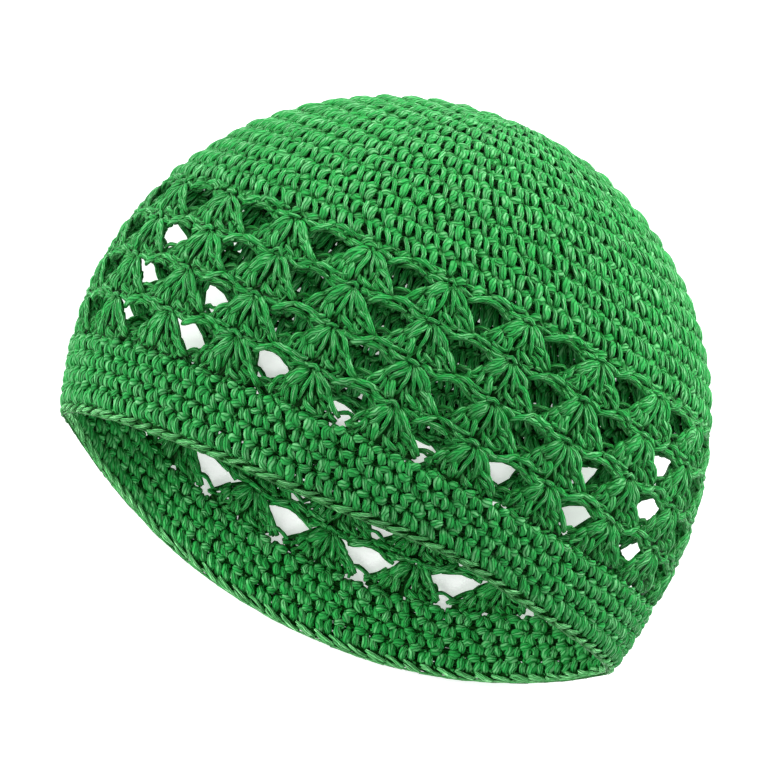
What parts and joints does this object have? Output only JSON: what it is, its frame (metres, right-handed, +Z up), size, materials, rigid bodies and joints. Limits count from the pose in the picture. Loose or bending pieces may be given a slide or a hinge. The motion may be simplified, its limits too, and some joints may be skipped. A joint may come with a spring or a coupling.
{
  "type": "openwork crochet beanie",
  "caption": "Close-fitting crocheted cotton cap lying on its side: a solid dome of rounds, a wide openwork band of shells and chains, and a solid rim with a thin edge.",
  "frame": {"origin": "on the surface the cap lies on, under the middle of its bounding box", "axes": "+Z up from the surface, +Y from the head opening to the crown's centre, +X across the cap"},
  "size_m": [0.2174, 0.1842, 0.136],
  "materials": {
    "cotton_yarn": "mercerised cotton yarn, several fine plies, soft sheen",
    "edge_yarn": "the same cotton yarn, slightly paler and flatter along the edge"
  },
  "bodies": {
    "root": {"crown": "cotton_yarn", "shell_round_1": "cotton_yarn", "shell_round_2": "cotton_yarn", "shell_round_3": "cotton_yarn", "shell_round_4": "cotton_yarn", "rim_band": "cotton_yarn", "edge_round": "edge_yarn"}
  },
  "joints": []
}
